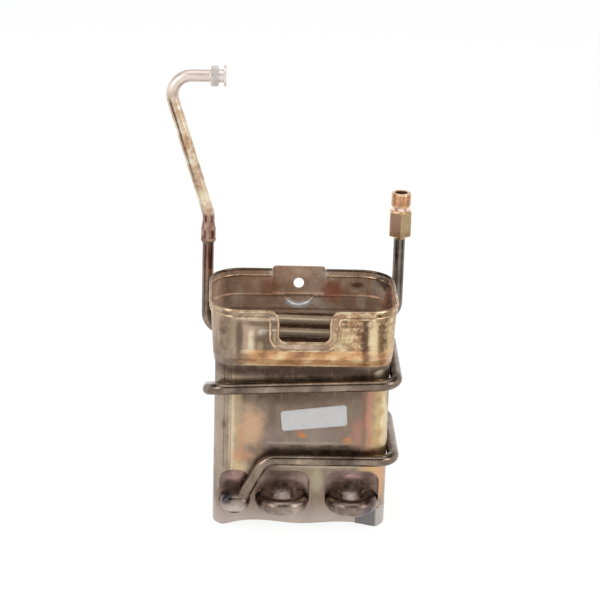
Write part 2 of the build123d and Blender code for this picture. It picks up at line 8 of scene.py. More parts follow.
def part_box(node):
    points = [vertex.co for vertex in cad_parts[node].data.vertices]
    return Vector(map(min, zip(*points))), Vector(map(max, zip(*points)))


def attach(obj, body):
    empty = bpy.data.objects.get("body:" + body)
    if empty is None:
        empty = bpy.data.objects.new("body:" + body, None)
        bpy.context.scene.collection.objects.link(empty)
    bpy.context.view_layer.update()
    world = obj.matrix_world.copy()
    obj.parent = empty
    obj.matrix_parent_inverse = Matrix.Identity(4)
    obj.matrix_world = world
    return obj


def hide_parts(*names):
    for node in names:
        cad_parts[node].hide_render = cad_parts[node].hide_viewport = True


# Heat exchanger of a gas water heater: a copper sheet jacket with a burner skirt, a tube coiled
# round it, a goose-neck and a brass union.
# Places are counted in millimetres from the jacket's own axis, as in the part's source.
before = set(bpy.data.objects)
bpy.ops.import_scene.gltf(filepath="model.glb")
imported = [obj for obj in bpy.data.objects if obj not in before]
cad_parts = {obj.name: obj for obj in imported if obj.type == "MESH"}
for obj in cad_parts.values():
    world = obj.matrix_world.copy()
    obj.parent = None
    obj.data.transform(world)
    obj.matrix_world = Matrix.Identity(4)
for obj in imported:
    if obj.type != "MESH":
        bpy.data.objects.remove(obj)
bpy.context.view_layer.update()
MM = 0.001
JACKET_AXIS = Vector((14.72, -2.113, 0.0))

# Core tubes, and the tube that is coiled round the jacket
CORE_XS = [-71.5, -35.75, 0.0, 35.75, 71.5]
CORE_PITCH = 35.75
CORE_Z = 29.0
CORE_R = 8.5
CORE_BRAZE_Y = 51.4
COIL_R = 6.0

# Jacket's front wall
FRONT_Y = -60.5

# Skirt's rim, gas notch and rear tab
SKIRT_HALF_X = 94.5
SKIRT_HALF_Y = 66.0
SKIRT_CORNER = 34.0
SKIRT_TOP = 237.0
SKIRT_LEAN = 0.06
NOTCH_HALF = 26.0
NOTCH_FOOT = 204.0
NOTCH_CORNER = 7.0
NOTCH_FLARE = 11.0
TAB_LEFT = -30.9
TAB_RIGHT = 26.3

# Colour sockets of a Mix node, by number, because its other sockets have the same names
A, B, MIXED = 6, 7, 2


def at(x, y, z):
    """A place counted from the jacket's axis, in millimetres, as metres in the shared frame."""
    return (Vector((x, y, z)) + JACKET_AXIS) * MM


def hex_colour(code):
    """An sRGB hex colour as linear RGBA."""
    parts = [int(code[i:i + 2], 16) / 255 for i in (1, 3, 5)]
    linear = [c / 12.92 if c <= 0.04045 else ((c + 0.055) / 1.055) ** 2.4 for c in parts]
    return (*linear, 1.0)


def add(tree, kind, links=None, out=0, stops=None, **settings):
    """Adds a node with its settings and links, and gives the output named by out.

    links maps inputs to outputs, hex colours or plain values; stops are a ramp's (place, hex)."""
    node = tree.nodes.new("ShaderNode" + kind)
    for name, value in settings.items():
        setattr(node, name, value)
    for key, value in (links or {}).items():
        if isinstance(value, bpy.types.NodeSocket):
            tree.links.new(value, node.inputs[key])
        else:
            plain = hex_colour(value) if isinstance(value, str) else value
            node.inputs[key].default_value = plain
    for number, (place, code) in enumerate(stops or []):
        points = node.color_ramp.elements
        point = points[number] if number < 2 else points.new(place)
        point.position = place
        point.color = hex_colour(code)
    return node.outputs[out] if len(node.outputs) else node


def new_material(name):
    material = bpy.data.materials.new(name)
    material.use_nodes = True
    tree = material.node_tree
    tree.nodes.clear()
    return material, tree


def metal_surface(tree, colour, rough, relief, edge_mm, metallic=1.0):
    """The metal: worn edges, then relief given as (height, strength, depth in mm)."""
    normal = add(tree, "Bevel", {"Radius": edge_mm * MM}, samples=4)
    for height, strength, depth in relief:
        normal = add(tree, "Bump", {"Height": height, "Strength": strength,
                                    "Distance": depth * MM, "Normal": normal})
    shader = add(tree, "BsdfPrincipled", {"Base Color": colour, "Roughness": rough,
                                          "Metallic": metallic, "Normal": normal})
    add(tree, "OutputMaterial", {"Surface": shader})


def stain_and_painted_light(tree, place, ragged, colour, mark):
    """Lays one ragged mark over the colour: a heat stain, a braze run, or painted light or shade.

    mark is (centre, size, share, hex): full inside a third of its size, and gone at half as much
    again as its size."""
    centre, size, share, code = mark
    moved = add(tree, "VectorMath", {0: place, 1: at(*centre)}, operation="SUBTRACT")
    scaled = add(tree, "VectorMath", {0: moved, 1: [1 / (v * MM) for v in size]},
                 operation="MULTIPLY")
    reach = add(tree, "VectorMath", {0: scaled}, out="Value", operation="LENGTH")
    edge = add(tree, "Math", {0: reach, 1: ragged}, operation="ADD")
    mask = add(tree, "MapRange", {"Value": edge, "From Min": 1.45, "From Max": 0.35,
                                  "To Max": share}, interpolation_type="SMOOTHSTEP")
    return add(tree, "Mix", {"Factor": mask, A: colour, B: code}, out=MIXED, data_type="RGBA")


def faces_out(tree, place):
    """1 on the outside of the wrapped sheet, 0 on its inside."""
    middle = add(tree, "VectorMath", {0: place, 1: at(0, 0, 0)}, operation="SUBTRACT")
    level = add(tree, "VectorMath", {0: middle, 1: (1, 1, 0)}, operation="MULTIPLY")
    normal = add(tree, "NewGeometry", out="True Normal")
    away = add(tree, "VectorMath", {0: level, 1: normal}, out="Value", operation="DOT_PRODUCT")
    return add(tree, "MapRange", {"Value": away, "From Min": -0.002, "From Max": 0.002})


# Stains, painted shade, painted highlights and painted reflections on the jacket: centre and
# size in mm, share and colour
JACKET_MARKS = [
    ((0, -61, 147), (74, 14, 14), 0.97, "#574437"),
    ((30, -61, 124), (50, 14, 26), 0.60, "#7d6b5e"),
    ((-51, -61, 108), (14, 14, 23), 0.88, "#cda787"),
    ((-66, -61, 108), (5, 14, 56), 0.60, "#c2ab88"),
    ((-71, -61, 112), (3, 14, 60), 0.80, "#dccbac"),
    ((-84, -56, 105), (9, 14, 70), 0.80, "#b8a592"),
    ((-62, -61, 92), (3, 14, 20), 0.55, "#c8966f"),
    ((-60, -61, 78), (10, 14, 10), 0.50, "#c8926f"),
    ((-62, -61, 66), (9, 14, 7), 0.70, "#d6c095"),
    ((-30, -61, 98), (12, 14, 16), 0.55, "#8b7a73"),
    ((12, -61, 102), (34, 14, 9), 0.60, "#92837b"),
    # Painted shadow along the top of the lower coil run, over dark oxide
    ((14, -61, 86), (50, 14, 5), 0.95, "#4a3b30"),
    ((44, -61, 86), (22, 14, 5), 0.80, "#4a3b30"),
    ((4, -61, 93), (44, 14, 1.6), 0.70, "#a3968a"),
    ((63, -60, 122), (3, 16, 48), 0.75, "#8a6a5a"),
    ((69, -60, 122), (4, 16, 46), 0.90, "#c08a74"),
    # Painted gold and cream reflections down the rounded right corner
    ((80, -58, 122), (9, 18, 46), 0.90, "#d3b784"),
    ((84, -56, 116), (4, 16, 34), 0.90, "#efe0b6"),
    ((76, -58, 84), (12, 16, 5), 0.80, "#6b4d2c"),
    ((80, -57, 56), (9, 18, 26), 0.90, "#dfae8c"),
    ((72, -59, 66), (10, 18, 5), 0.75, "#d9b878"),
    ((77, -58, 141), (4, 16, 4), 0.55, "#a27c4e"),
    ((80, -57, 104), (4, 16, 5), 0.55, "#ae8a5a"),
    ((74, -58, 95), (4, 16, 6), 0.55, "#c39a6c"),
    ((82, -57, 127), (3, 16, 5), 0.55, "#c09a68"),
    ((66, -59, 68), (5, 18, 4), 0.60, "#d9a099"),
    ((88, -40, 70), (12, 30, 50), 0.45, "#c8a276"),
    ((1, -61, 101), (4, 12, 3), 0.85, "#c98047"),
    ((-3, -61, 105), (3, 12, 2), 0.60, "#b9713f"),
    ((47, -61, 97), (5, 12, 4), 0.75, "#c78552"),
    ((57, -61, 105), (8, 12, 14), 0.55, "#b98270"),
    ((-79, -58, 112), (3, 12, 5), 0.55, "#5b4037"),
    ((-77, -58, 46), (4, 12, 8), 0.65, "#57443a"),
    ((-48, -61, 40), (4, 14, 22), 0.45, "#7b675a"),
    ((18, -61, 50), (6, 14, 14), 0.60, "#b4a98d"),
    ((16, -61, 67.5), (42, 14, 2.5), 0.80, "#b7ab93"),
    # Painted shade in the recess under the skirt, over dark tarnish
    ((0, -61, 172), (120, 40, 8), 0.97, "#46352b"),
    # Painted highlight on a braze lump under the skirt
    ((78, -58, 169), (5, 20, 4), 0.90, "#ded2b4"),
]


def brazed_jacket_sheet():
    """Rolled copper sheet after furnace brazing.

    Grey-brown oxide with pink blooms and painted gold reflections down the right corner, rolling
    lines that run up the sheet, and wavy reflections, because it was wrapped by hand. The inside
    is dark with soot."""
    material, tree = new_material("brazed_copper_jacket_sheet")
    place = add(tree, "TexCoord", out="Object")
    upright = add(tree, "Mapping", {"Vector": place, "Scale": (1, 1, 0.3)})
    cloud = add(tree, "TexNoise", {"Vector": upright, "Scale": 1 / (34 * MM), "Detail": 6,
                                   "Roughness": 0.62})
    colour = add(tree, "ValToRGB", {"Fac": cloud}, stops=[
        (0.30, "#6b5a4d"), (0.45, "#857364"), (0.57, "#978573"), (0.70, "#aa947e")])
    # Stain edges wander by about 12 mm, with finer teeth in them
    grain = add(tree, "TexNoise", {"Vector": place, "Scale": 1 / (12 * MM), "Detail": 6,
                                   "Roughness": 0.6})
    ragged = add(tree, "MapRange", {"Value": grain, "From Min": 0.3, "From Max": 0.7,
                                    "To Min": -0.35, "To Max": 0.35})
    for mark in JACKET_MARKS:
        colour = stain_and_painted_light(tree, place, ragged, colour, mark)
    streaks = add(tree, "TexNoise", {"Vector": upright, "Scale": 1 / (5 * MM), "Detail": 5,
                                     "Roughness": 0.7})
    streak = add(tree, "MapRange", {"Value": streaks, "From Min": 0.56, "From Max": 0.74,
                                    "To Max": 0.22}, interpolation_type="SMOOTHSTEP")
    colour = add(tree, "Mix", {"Factor": streak, A: colour, B: "#c6aa80"}, out=MIXED,
                 data_type="RGBA")
    height = add(tree, "SeparateXYZ", {0: place}, out="Z")
    foot = add(tree, "MapRange", {"Value": height, "From Min": 34 * MM, "From Max": 2 * MM,
                                  "To Max": 0.75}, interpolation_type="SMOOTHSTEP")
    colour = add(tree, "Mix", {"Factor": foot, A: colour, B: "#c9bab0"}, out=MIXED,
                 data_type="RGBA")
    # Oxide specks are under 1 mm, and are drawn at 2.6 mm so that they show
    dots = add(tree, "TexNoise", {"Vector": place, "Scale": 1 / (2.6 * MM), "Detail": 3,
                                  "Roughness": 0.6})
    speck = add(tree, "MapRange", {"Value": dots, "From Min": 0.68, "From Max": 0.73,
                                   "To Max": 0.45})
    colour = add(tree, "Mix", {"Factor": speck, A: colour, B: "#6a3f24"}, out=MIXED,
                 data_type="RGBA")
    # The folded flap at the right foot is blue-grey from the torch, and lighter at its free end
    depth = add(tree, "SeparateXYZ", {0: place}, out="Y")
    across = add(tree, "SeparateXYZ", {0: place}, out="X")
    right_of = add(tree, "MapRange", {"Value": across, "From Min": at(57.6, 0, 0).x,
                                      "From Max": at(58.6, 0, 0).x, "To Max": 0.9})
    below = add(tree, "MapRange", {"Value": height, "From Min": 21.5 * MM,
                                   "From Max": 20.0 * MM})
    ahead = add(tree, "Math", {0: depth, 1: at(0, -47, 0).y}, operation="LESS_THAN")
    corner = add(tree, "Math", {0: right_of, 1: below}, operation="MULTIPLY")
    flap = add(tree, "Math", {0: corner, 1: ahead}, operation="MULTIPLY")
    folded = add(tree, "MapRange", {"Value": across, "From Min": at(78, 0, 0).x,
                                    "From Max": at(80, 0, 0).x})
    torch = add(tree, "Mix", {"Factor": folded, A: "#6d6b6d", B: "#bab4ae"}, out=MIXED,
                data_type="RGBA")
    colour = add(tree, "Mix", {"Factor": flap, A: colour, B: torch}, out=MIXED, data_type="RGBA")
    # Faces that look up are painted pale: bare copper on cut edges, and painted light from above
    upward = add(tree, "SeparateXYZ", {0: add(tree, "NewGeometry", out="True Normal")}, out="Z")
    bare_edge_and_top_light = add(tree, "MapRange", {"Value": upward, "From Min": 0.6, "From Max": 0.9,
                                      "To Max": 0.8})
    colour = add(tree, "Mix", {"Factor": bare_edge_and_top_light, A: colour, B: "#e9dcc6"}, out=MIXED,
                 data_type="RGBA")
    outside = faces_out(tree, place)
    soot = add(tree, "ValToRGB", {"Fac": grain}, stops=[(0.35, "#7a5c4a"), (0.65, "#a5836c")])
    # The pressed rolls on the rear wall stand into the soot and carry a painted highlight
    roll = add(tree, "MapRange", {"Value": depth, "From Min": at(0, 59.3, 0).y,
                                  "From Max": at(0, 57.0, 0).y})
    rear = add(tree, "Math", {0: depth, 1: at(0, 45, 0).y}, operation="GREATER_THAN")
    roll_highlight = add(tree, "Math", {0: roll, 1: rear}, operation="MULTIPLY")
    inside = add(tree, "Mix", {"Factor": roll_highlight, A: soot, B: "#f0dcbe"}, out=MIXED,
                 data_type="RGBA")
    colour = add(tree, "Mix", {"Factor": outside, A: inside, B: colour}, out=MIXED,
                 data_type="RGBA")
    # Rolling lines are under 0.1 mm apart, and are drawn 1.2 mm apart so that they show
    rolling = add(tree, "Mapping", {"Vector": place, "Scale": (1, 1, 0.11)})
    fine = add(tree, "TexNoise", {"Vector": rolling, "Scale": 1 / (1.2 * MM), "Detail": 3,
                                  "Roughness": 0.6})
    dents = add(tree, "TexNoise", {"Vector": place, "Scale": 1 / (55 * MM), "Detail": 2,
                                   "Roughness": 0.5})
    rough = add(tree, "MapRange", {"Value": grain, "From Min": 0.3, "From Max": 0.7,
                                   "To Min": 0.18, "To Max": 0.34})
    metallic = add(tree, "MapRange", {"Value": outside, "To Min": 0.5, "To Max": 0.85})
    metal_surface(tree, colour, rough, [(dents, 0.7, 4.0), (fine, 0.05, 0.06)], 0.8, metallic)
    return material


# Stains, painted highlights, painted reflections and painted shade on the skirt's outside, given
# as the jacket's are
SKIRT_MARKS = [
    # Left panel: painted highlight stripes and a painted reflection of a bright box, dark inside
    ((-53, -66, 206), (3.4, 14, 13), 0.90, "#e6d6b6"),
    ((-42, -66, 214), (5, 14, 4), 0.95, "#fbf4e4"),
    ((-33, -66, 217), (7, 10, 1.0), 0.90, "#f4e6cf"),
    ((-33, -66, 200.5), (8, 10, 0.9), 0.80, "#f0dfc4"),
    ((-38, -66, 206), (12, 14, 13), 0.90, "#6d5a47"),
    ((-44, -66, 200), (3, 14, 5), 0.60, "#b9a27c"),
    ((-30, -66, 209), (1.6, 14, 9), 0.55, "#bfa780"),
    ((-60, -66, 188), (9, 14, 5), 0.60, "#7a5840"),
    ((-4, -66, 191), (10, 14, 2.4), 0.50, "#8c5a44"),
    ((66, -64, 190), (6, 16, 3), 0.50, "#8a5f3f"),
    # Dark band of the painted reflection at the left corner
    ((-65, -66, 210), (4, 16, 22), 0.85, "#5f4c3d"),
    ((-74, -62, 210), (5, 16, 24), 0.55, "#a8937c"),
    # Painted highlight along the border bead, with painted shade under it
    ((-44, -66, 224), (22, 14, 3), 0.70, "#6d5844"),
    ((-50, -66, 229), (26, 14, 2), 0.75, "#d9c8ad"),
    ((40, -66, 208), (12, 14, 14), 0.45, "#cdb98e"),
    # Painted shade under the border bead on the right
    ((48, -66, 222), (22, 14, 2), 0.70, "#6f5440"),
    # Painted reflection streaks, dark and gold, down the rounded right corner
    ((61, -66, 208), (4, 16, 26), 0.90, "#553e30"),
    ((70, -64, 208), (5, 16, 26), 0.80, "#eed9ae"),
    ((78, -62, 205), (4, 18, 24), 0.85, "#866846"),
    ((86, -54, 208), (5, 18, 24), 0.65, "#d9bf95"),
]
# Stains and painted highlights on the skirt's inside
SKIRT_INNER_MARKS = [
    ((94, 20, 214), (12, 30, 12), 0.85, "#7a4038"),
    ((90, 44, 203), (10, 18, 10), 0.70, "#94584a"),
    ((60, 64, 221), (7, 12, 3), 0.80, "#5c3c30"),
    ((57, 64, 214), (5, 12, 2), 0.70, "#fbe8d6"),
    ((34, 64, 214), (12, 12, 14), 0.75, "#c06e4e"),
    ((48, 64, 206), (8, 12, 10), 0.45, "#9c6a52"),
    ((-33, 64, 216), (12, 12, 12), 0.65, "#b8795c"),
    # Painted highlights in the rear inside corners
    ((-66, 60, 204), (7, 16, 12), 0.65, "#ffe6cc"),
    ((-78, 58, 212), (5, 16, 18), 0.55, "#b69277"),
    ((64, 60, 203), (5, 16, 12), 0.70, "#ffe6cc"),
    ((76, 58, 203), (5, 16, 12), 0.55, "#c4a084"),
    ((14, 64, 202), (6, 12, 5), 0.70, "#fdf0e2"),
    ((0, 64, 208.5), (60, 16, 1.5), 0.60, "#6d5242"),
    # Painted highlights at the ends of the rolled lip, beside the tab
    ((-31.5, 63, 233), (2.5, 9, 4.5), 0.90, "#fff2e0"),
    ((26.5, 63, 233), (2.5, 9, 4.5), 0.90, "#fff2e0"),
    ((87, 50, 228), (11, 13, 8), 0.85, "#49332b"),
    ((93, 34, 220), (7, 12, 6), 0.75, "#74403a"),
    ((91, 40, 211), (7, 9, 5), 0.70, "#4d352c"),
]


def brazed_skirt_sheet():
    """Drawn copper skirt: mottled braze gold to the right, and a hot orange band over the lap.

    The gold is braze that crept up the sheet, so it is rough and speckled; the inside is a plain
    flame-browned copper."""
    material, tree = new_material("brazed_copper_skirt_sheet")
    place = add(tree, "TexCoord", out="Object")
    upright = add(tree, "Mapping", {"Vector": place, "Scale": (1, 1, 0.4)})
    cloud = add(tree, "TexNoise", {"Vector": upright, "Scale": 1 / (28 * MM), "Detail": 6,
                                   "Roughness": 0.6})
    colour = add(tree, "ValToRGB", {"Fac": cloud}, stops=[
        (0.30, "#78645a"), (0.43, "#9c8572"), (0.56, "#bba28c"), (0.70, "#d8c1a9")])
    # Braze beads are about 1 mm, and are drawn at 6 mm so that they show
    mottle = add(tree, "TexNoise", {"Vector": place, "Scale": 1 / (6 * MM), "Detail": 8,
                                    "Roughness": 0.7})
    sideways = add(tree, "Mapping", {"Vector": place, "Scale": (0.5, 0.5, 1)})
    flow = add(tree, "TexNoise", {"Vector": sideways, "Scale": 1 / (9 * MM), "Detail": 7,
                                  "Roughness": 0.62})
    gold = add(tree, "ValToRGB", {"Fac": mottle}, stops=[
        (0.35, "#56392a"), (0.44, "#916a46"), (0.53, "#cba477"), (0.62, "#fae9c6")])
    copper = add(tree, "ValToRGB", {"Fac": flow}, stops=[
        (0.34, "#a97850"), (0.44, "#d39c68"), (0.54, "#e9b985"), (0.66, "#fbdfae")])
    grain = add(tree, "TexNoise", {"Vector": place, "Scale": 1 / (8 * MM), "Detail": 7,
                                   "Roughness": 0.72})
    ragged = add(tree, "MapRange", {"Value": grain, "From Min": 0.3, "From Max": 0.7,
                                    "To Min": -0.4, "To Max": 0.4})
    wander = add(tree, "Math", {0: ragged, 1: 9 * MM}, operation="MULTIPLY")
    across = add(tree, "Math", {0: add(tree, "SeparateXYZ", {0: place}, out="X"), 1: wander},
                 operation="ADD")
    depth = add(tree, "Math", {0: add(tree, "SeparateXYZ", {0: place}, out="Y"), 1: wander},
                operation="ADD")
    height = add(tree, "SeparateXYZ", {0: place}, out="Z")
    level = add(tree, "Math", {0: height, 1: wander}, operation="ADD")
    to_right = add(tree, "MapRange", {"Value": across, "From Min": at(14, 0, 0).x,
                                      "From Max": at(44, 0, 0).x, "To Max": 0.85},
                   interpolation_type="SMOOTHSTEP")
    in_front = add(tree, "MapRange", {"Value": depth, "From Min": at(0, 12, 0).y,
                                      "From Max": at(0, -52, 0).y},
                   interpolation_type="SMOOTHSTEP")
    creep = add(tree, "Math", {0: to_right, 1: in_front}, operation="MULTIPLY")
    colour = add(tree, "Mix", {"Factor": creep, A: colour, B: gold}, out=MIXED, data_type="RGBA")
    # The band ends in a nearly straight line at the shoulder
    tide = add(tree, "Math", {0: wander, 1: 0.25}, operation="MULTIPLY")
    brim = add(tree, "Math", {0: height, 1: tide}, operation="ADD")
    rising = add(tree, "MapRange", {"Value": brim, "From Min": 196.5 * MM,
                                    "From Max": 194.5 * MM, "To Max": 0.95})
    from_left = add(tree, "MapRange", {"Value": across, "From Min": at(-72, 0, 0).x,
                                       "From Max": at(-52, 0, 0).x},
                    interpolation_type="SMOOTHSTEP")
    near_front = add(tree, "MapRange", {"Value": depth, "From Min": at(0, -38, 0).y,
                                        "From Max": at(0, -58, 0).y},
                     interpolation_type="SMOOTHSTEP")
    band = add(tree, "Math", {0: rising, 1: from_left}, operation="MULTIPLY")
    hot = add(tree, "Math", {0: band, 1: near_front}, operation="MULTIPLY")
    colour = add(tree, "Mix", {"Factor": hot, A: colour, B: copper}, out=MIXED, data_type="RGBA")
    for mark in SKIRT_MARKS:
        colour = stain_and_painted_light(tree, place, ragged, colour, mark)
    # Oxide specks are under 1 mm here too, and are drawn at 2.2 mm so that they show
    dots = add(tree, "TexNoise", {"Vector": place, "Scale": 1 / (2.2 * MM), "Detail": 3,
                                  "Roughness": 0.6})
    speck = add(tree, "MapRange", {"Value": dots, "From Min": 0.66, "From Max": 0.72,
                                   "To Max": 0.5})
    colour = add(tree, "Mix", {"Factor": speck, A: colour, B: "#6a3f24"}, out=MIXED,
                 data_type="RGBA")
    inside = add(tree, "ValToRGB", {"Fac": cloud}, stops=[
        (0.30, "#c09a7e"), (0.45, "#d4b296"), (0.57, "#e2c5ac"), (0.70, "#f2dfcd")])
    for mark in SKIRT_INNER_MARKS:
        inside = stain_and_painted_light(tree, place, ragged, inside, mark)
    # The scoop under the hole carries a painted highlight along its round edge
    ring = add(tree, "VectorMath", {0: place, 1: at(-2.3, 64.2, 215.2)}, out="Value",
               operation="DISTANCE")
    off_edge = add(tree, "Math", {0: ring, 1: 16.7 * MM}, operation="SUBTRACT")
    near = add(tree, "Math", {0: off_edge}, operation="ABSOLUTE")
    bright = add(tree, "MapRange", {"Value": near, "From Min": 4.4 * MM, "From Max": 2.4 * MM})
    low = add(tree, "MapRange", {"Value": level, "From Min": 206 * MM, "From Max": 201 * MM})
    crescent_highlight = add(tree, "Math", {0: bright, 1: low}, operation="MULTIPLY")
    inside = add(tree, "Mix", {"Factor": crescent_highlight, A: inside, B: "#ffffff"}, out=MIXED,
                 data_type="RGBA")
    outside = faces_out(tree, place)
    colour = add(tree, "Mix", {"Factor": outside, A: inside, B: colour}, out=MIXED,
                 data_type="RGBA")
    dents = add(tree, "TexNoise", {"Vector": place, "Scale": 1 / (42 * MM), "Detail": 2,
                                   "Roughness": 0.5})
    rough = add(tree, "MapRange", {"Value": mottle, "From Min": 0.35, "From Max": 0.65,
                                   "To Min": 0.18, "To Max": 0.38})
    # The bare inside, and the band with its thick braze, are duller
    outer = add(tree, "MapRange", {"Value": outside, "To Min": 0.5, "To Max": 0.82})
    under = add(tree, "MapRange", {"Value": height, "From Min": 196 * MM, "From Max": 189 * MM,
                                   "To Max": 0.70}, interpolation_type="SMOOTHSTEP")
    metallic = add(tree, "Math", {0: outer, 1: under}, operation="SUBTRACT", use_clamp=True)
    metal_surface(tree, colour, rough, [(dents, 0.6, 3.0), (mottle, 0.3, 0.3)], 0.8, metallic)
    return material


def drawn_copper_tube(name, stops, rough_low, rough_high, along, waves_mm=0.4, marks=()):
    """Drawn copper tube: oxide in slow clouds, thin gold flecks and draw lines along its run.

    Draw lines are under 0.1 mm apart, and are drawn 0.8 mm apart so that they show."""
    material, tree = new_material(name)
    place = add(tree, "TexCoord", out="Object")
    tint = add(tree, "TexNoise", {"Vector": place, "Scale": 1 / (24 * MM), "Detail": 6,
                                  "Roughness": 0.62})
    colour = add(tree, "ValToRGB", {"Fac": tint}, stops=stops)
    flecks = add(tree, "TexNoise", {"Vector": place, "Scale": 1 / (5 * MM), "Detail": 6,
                                    "Roughness": 0.7})
    fleck = add(tree, "MapRange", {"Value": flecks, "From Min": 0.58, "From Max": 0.70,
                                   "To Max": 0.35}, interpolation_type="SMOOTHSTEP")
    colour = add(tree, "Mix", {"Factor": fleck, A: colour, B: "#b59a72"}, out=MIXED,
                 data_type="RGBA")
    ragged = add(tree, "MapRange", {"Value": flecks, "From Min": 0.3, "From Max": 0.7,
                                    "To Min": -0.3, "To Max": 0.3})
    for mark in marks:
        colour = stain_and_painted_light(tree, place, ragged, colour, mark)
    drawn = add(tree, "Mapping", {"Vector": place, "Scale": along})
    lines = add(tree, "TexNoise", {"Vector": drawn, "Scale": 1 / (0.8 * MM), "Detail": 2})
    waves = add(tree, "TexNoise", {"Vector": place, "Scale": 1 / (16 * MM), "Detail": 2})
    rough = add(tree, "MapRange", {"Value": flecks, "From Min": 0.3, "From Max": 0.7,
                                   "To Min": rough_low, "To Max": rough_high})
    metal_surface(tree, colour, rough, [(waves, 0.3, waves_mm), (lines, 0.03, 0.04)], 0.2)
    return material


# Stains on the goose-neck
NECK_MARKS = [
    ((-112, 64, 340), (14, 14, 15), 0.45, "#9a6243"),
    ((-124, 64, 372), (12, 14, 12), 0.45, "#a9734c"),
    ((-136, 64, 408), (12, 14, 10), 0.50, "#b07e58"),
    ((-104, 64, 318), (14, 14, 7), 0.55, "#e9ddbd"),
]


def annealed_neck_pipe():
    """Goose-neck of annealed copper: gold and rose clouds, a dark rose socket, and a bleached top.

    The torch turned the kink brown, and pickling left the top nearly white."""
    material, tree = new_material("annealed_copper_neck_pipe")
    place = add(tree, "TexCoord", out="Object")
    tint = add(tree, "TexNoise", {"Vector": place, "Scale": 1 / (14 * MM), "Detail": 6,
                                  "Roughness": 0.65})
    colour = add(tree, "ValToRGB", {"Fac": tint}, stops=[
        (0.30, "#a6886f"), (0.42, "#c7ac90"), (0.54, "#e0ceb2"), (0.68, "#f4ecda")])
    height = add(tree, "SeparateXYZ", {0: place}, out="Z")
    grain = add(tree, "TexNoise", {"Vector": place, "Scale": 1 / (7 * MM), "Detail": 6,
                                   "Roughness": 0.7})
    ragged = add(tree, "MapRange", {"Value": grain, "From Min": 0.3, "From Max": 0.7,
                                    "To Min": -0.6, "To Max": 0.6})
    for mark in NECK_MARKS:
        colour = stain_and_painted_light(tree, place, ragged, colour, mark)
    wander = add(tree, "Math", {0: ragged, 1: 6 * MM}, operation="MULTIPLY")
    level = add(tree, "Math", {0: height, 1: wander}, operation="ADD")
    bleached = add(tree, "MapRange", {"Value": level, "From Min": 405 * MM, "From Max": 446 * MM,
                                      "To Max": 0.92}, interpolation_type="SMOOTHSTEP")
    colour = add(tree, "Mix", {"Factor": bleached, A: colour, B: "#eadbd3"}, out=MIXED,
                 data_type="RGBA")
    burnt = add(tree, "MapRange", {"Value": level, "From Min": 306 * MM, "From Max": 292 * MM,
                                   "To Max": 0.85}, interpolation_type="SMOOTHSTEP")
    rose = add(tree, "ValToRGB", {"Fac": grain}, stops=[
        (0.35, "#6d4640"), (0.50, "#94685c"), (0.65, "#b89484")])
    colour = add(tree, "Mix", {"Factor": burnt, A: colour, B: rose}, out=MIXED, data_type="RGBA")
    waves = add(tree, "TexNoise", {"Vector": place, "Scale": 1 / (16 * MM), "Detail": 2})
    shine = add(tree, "MapRange", {"Value": grain, "From Min": 0.3, "From Max": 0.7,
                                   "To Min": 0.16, "To Max": 0.28})
    etched = add(tree, "Math", {0: bleached, 1: 0.22}, operation="MULTIPLY")
    rough = add(tree, "Math", {0: shine, 1: etched}, operation="ADD")
    metal_surface(tree, colour, rough, [(waves, 0.3, 0.5), (grain, 0.05, 0.06)], 0.3)
    return material


def turned_brass(name, stops, rough, marks=()):
    """Turned brass: tool rings across the axis, drawn 0.5 mm apart so that they show."""
    material, tree = new_material(name)
    place = add(tree, "TexCoord", out="Object")
    dull = add(tree, "TexNoise", {"Vector": place, "Scale": 1 / (7 * MM), "Detail": 6,
                                  "Roughness": 0.65})
    colour = add(tree, "ValToRGB", {"Fac": dull}, stops=stops)
    ragged = add(tree, "MapRange", {"Value": dull, "From Min": 0.3, "From Max": 0.7,
                                    "To Min": -0.2, "To Max": 0.2})
    for mark in marks:
        colour = stain_and_painted_light(tree, place, ragged, colour, mark)
    stretched = add(tree, "Mapping", {"Vector": place, "Scale": (0.05, 0.05, 1)})
    rings = add(tree, "TexNoise", {"Vector": stretched, "Scale": 1 / (0.5 * MM), "Detail": 1})
    metal_surface(tree, colour, rough, [(rings, 0.10, 0.05)], 0.25)
    return material


def painted_highlight_edge():
    """The rolled rim and border bead: the same copper, painted pale as a highlight."""
    material, tree = new_material("copper_edge_painted_highlight")
    place = add(tree, "TexCoord", out="Object")
    worn = add(tree, "TexNoise", {"Vector": place, "Scale": 1 / (9 * MM), "Detail": 5,
                                  "Roughness": 0.65})
    colour = add(tree, "ValToRGB", {"Fac": worn}, stops=[
        (0.32, "#8a6c56"), (0.46, "#bf9f80"), (0.58, "#dcc4a4"), (0.70, "#f2e4ca")])
    # The rear rim's top is painted dark, as painted shade
    depth = add(tree, "SeparateXYZ", {0: place}, out="Y")
    rear = add(tree, "MapRange", {"Value": depth, "From Min": at(0, -10, 0).y,
                                  "From Max": at(0, 45, 0).y, "To Max": 0.85})
    height = add(tree, "SeparateXYZ", {0: place}, out="Z")
    lip = add(tree, "MapRange", {"Value": height, "From Min": 232 * MM, "From Max": 234 * MM})
    rear_rim_shade = add(tree, "Math", {0: rear, 1: lip}, operation="MULTIPLY")
    colour = add(tree, "Mix", {"Factor": rear_rim_shade, A: colour, B: "#503f35"}, out=MIXED,
                 data_type="RGBA")
    # The right rear corner is painted darkest
    ragged = add(tree, "MapRange", {"Value": worn, "From Min": 0.3, "From Max": 0.7,
                                    "To Min": -0.5, "To Max": 0.5})
    colour = stain_and_painted_light(tree, place, ragged, colour, ((86, 52, 236), (14, 18, 7), 0.9, "#3a2a23"))
    metal_surface(tree, colour, 0.24, [(worn, 0.3, 0.5)], 0.2, 0.85)
    return material


